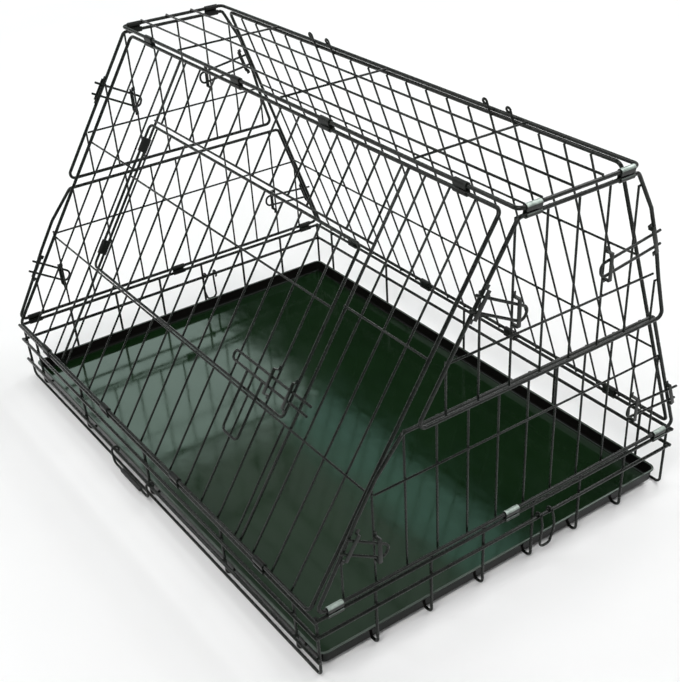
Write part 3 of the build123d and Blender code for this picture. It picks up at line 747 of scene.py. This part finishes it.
def tray_piece():
    """Pressed tray with a rolled rim and round inner corners."""
    low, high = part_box("tray")
    centre = (low + high) / 2
    half = (high - low) / 2
    rings = []
    for inset, height in tray_profile(high.z - low.z):
        radius = max(TRAY_CORNER - inset, TRAY_SMALLEST_CORNER)
        rings.append(rounded_loop(half.x - inset, half.y - inset, radius, centre, low.z + height))
    verts, faces = [], []
    skin(verts, faces, rings)
    piece = new_piece("tray_pressed", verts, faces, "tray_enamel", node_body["tray"], TRAY_CREASE)
    # The top of the rim gets a pale band as a painted highlight, and the walls a darker copy of the enamel
    # as painted shade
    for look in ("tray_walls_painted_shade", "tray_rim_painted_highlight"):
        piece.data.materials.append(MATERIALS[look])
    for face in piece.data.polygons:
        if face.center.z > high.z - TRAY_HIGHLIGHT_BAND:
            face.material_index = RIM_INDEX
        elif face.normal.z < TRAY_UPRIGHT:
            face.material_index = WALL_INDEX
    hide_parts("tray")


# Grip

def grip_piece():
    """Ribbed sleeve on the handle's bar."""
    low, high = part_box("handle_grip")
    centre = (low + high) / 2
    radius = (high.z - low.z) / 2
    length = high.x - low.x
    steps = GRIP_RIBS * GRIP_STEPS_PER_RIB
    rings = []
    for step in range(steps + 1):
        share = step / steps
        edge = min(share, 1 - share) * length
        width = radius - GRIP_RIB * (0.5 - 0.5 * math.cos(2 * math.pi * GRIP_RIBS * share))
        if edge < GRIP_ROUND:
            width -= GRIP_ROUND * (1 - math.sqrt(1 - (1 - edge / GRIP_ROUND) ** 2)) * GRIP_DRAWN_IN
        place = Vector((low.x + share * length, centre.y, centre.z))
        rings.append(ring(place, Vector((1, 0, 0)), Vector((0, 0, 1)), width, GRIP_SIDES))
    verts, faces = [], []
    skin(verts, faces, rings)
    body = node_body["handle_grip"]
    piece = new_piece("handle_grip_ribbed", verts, faces, "grip_rubber", body, GRIP_CREASE)
    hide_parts("handle_grip")


# Stage

def floor_paper():
    """Pale matt paper that takes on a white of its own past the reach of the lamps."""
    material, tree, shader = new_material("floor_paper")
    patches = noise(tree, scale=3, detail=2)
    vary(tree, shader, "Base Color", patches, ((0.3, PAPER_DULL), (0.7, PAPER_BRIGHT)))
    shader.inputs["Roughness"].default_value = 0.9
    shader.inputs["Specular IOR Level"].default_value = 0.1
    place = tree.nodes.new("ShaderNodeTexCoord")
    reach = tree.nodes.new("ShaderNodeVectorMath")
    reach.operation = "LENGTH"
    tree.links.new(place.outputs["Object"], reach.inputs[0])
    share = tree.nodes.new("ShaderNodeMapRange")
    share.inputs["From Min"].default_value = FLOOR_GLOW[0]
    share.inputs["From Max"].default_value = FLOOR_GLOW[1]
    tree.links.new(reach.outputs["Value"], share.inputs["Value"])
    tree.links.new(share.outputs["Result"], shader.inputs["Emission Strength"])
    shader.inputs["Emission Color"].default_value = (*WHITE, 1.0)
    return material


def floor():
    """Plain pale floor."""
    sides = ((-1, -1), (1, -1), (1, 1), (-1, 1))
    mesh = bpy.data.meshes.new("floor")
    mesh.from_pydata([(x * FLOOR_HALF, y * FLOOR_HALF, -FLOOR_DROP) for x, y in sides], [], [(0, 1, 2, 3)])
    mesh.materials.append(floor_paper())
    piece = bpy.data.objects.new("floor", mesh)
    bpy.context.scene.collection.objects.link(piece)


def lamp(name, place, size, power, colour):
    """Large soft light that faces down."""
    light = bpy.data.lights.new(name, "AREA")
    light.shape = "RECTANGLE"
    light.size, light.size_y = size
    light.energy = power
    light.color = colour
    shade = bpy.data.objects.new(name, light)
    shade.location = place
    bpy.context.scene.collection.objects.link(shade)
    return shade


def panel(name, low, high, radiance, colour):
    """Lamp on the ceiling between two corners."""
    size = (high[0] - low[0], high[1] - low[1])
    place = ((low[0] + high[0]) / 2, (low[1] + high[1]) / 2, CEILING)
    lamp(name, place, size, radiance * math.pi * size[0] * size[1], colour)


def softbox(name, place, target, size, power):
    """White lamp that faces a target."""
    shade = lamp(name, place, size, power, WHITE)
    shade.rotation_euler = (Vector(target) - Vector(place)).to_track_quat("-Z", "Y").to_euler()


def studio():
    """Panels overhead, softboxes all round for an even white floor, and a pale horizon."""
    for name, values in PANELS.items():
        panel(name, *values)
    for name, values in SOFTBOXES.items():
        softbox(name, *values)
    world = bpy.data.worlds.new("studio")
    world.use_nodes = True
    tree = world.node_tree
    place = tree.nodes.new("ShaderNodeTexCoord")
    split = tree.nodes.new("ShaderNodeSeparateXYZ")
    tree.links.new(place.outputs["Generated"], split.inputs["Vector"])
    vary(tree, tree.nodes["Background"], "Color", split.outputs["Z"], SKY)
    bpy.context.scene.world = world
    bpy.context.scene.view_settings.view_transform = "Standard"


def camera():
    """Camera at the photo's angle."""
    data = bpy.data.cameras.new("camera")
    data.sensor_fit = "HORIZONTAL"
    data.sensor_width = SENSOR
    data.lens = FOCAL_PIXELS * SENSOR / IMAGE[0]
    data.shift_x = (IMAGE[0] / 2 - CENTRE_PIXEL[0]) / IMAGE[0]
    data.shift_y = (CENTRE_PIXEL[1] - IMAGE[1] / 2) / IMAGE[0]
    view = bpy.data.objects.new("camera", data)
    view.location = CAMERA_EYE
    aim = (Vector(CAMERA_TARGET) - Vector(CAMERA_EYE)).to_track_quat("-Z", "Y")
    view.rotation_euler = (aim @ Quaternion((0, 0, 1), math.radians(CAMERA_ROLL))).to_euler()
    bpy.context.scene.collection.objects.link(view)
    bpy.context.scene.camera = view


clip_nodes = [node for node in frame["nodes"] if node.endswith("clips")]
strap_nodes = [node for node in frame["nodes"] if node.endswith("guides")]
solid_nodes = ["tray", "handle_grip"]
wire_nodes = [node for node in frame["nodes"] if node not in clip_nodes + strap_nodes + solid_nodes]
crate_wires = {node: read_wires(node) for node in wire_nodes}
wire_pieces(crate_wires)
weld_pieces(crate_wires)
clip_pieces(clip_nodes)
strap_pieces(strap_nodes)
tray_piece()
grip_piece()
floor()
studio()
camera()
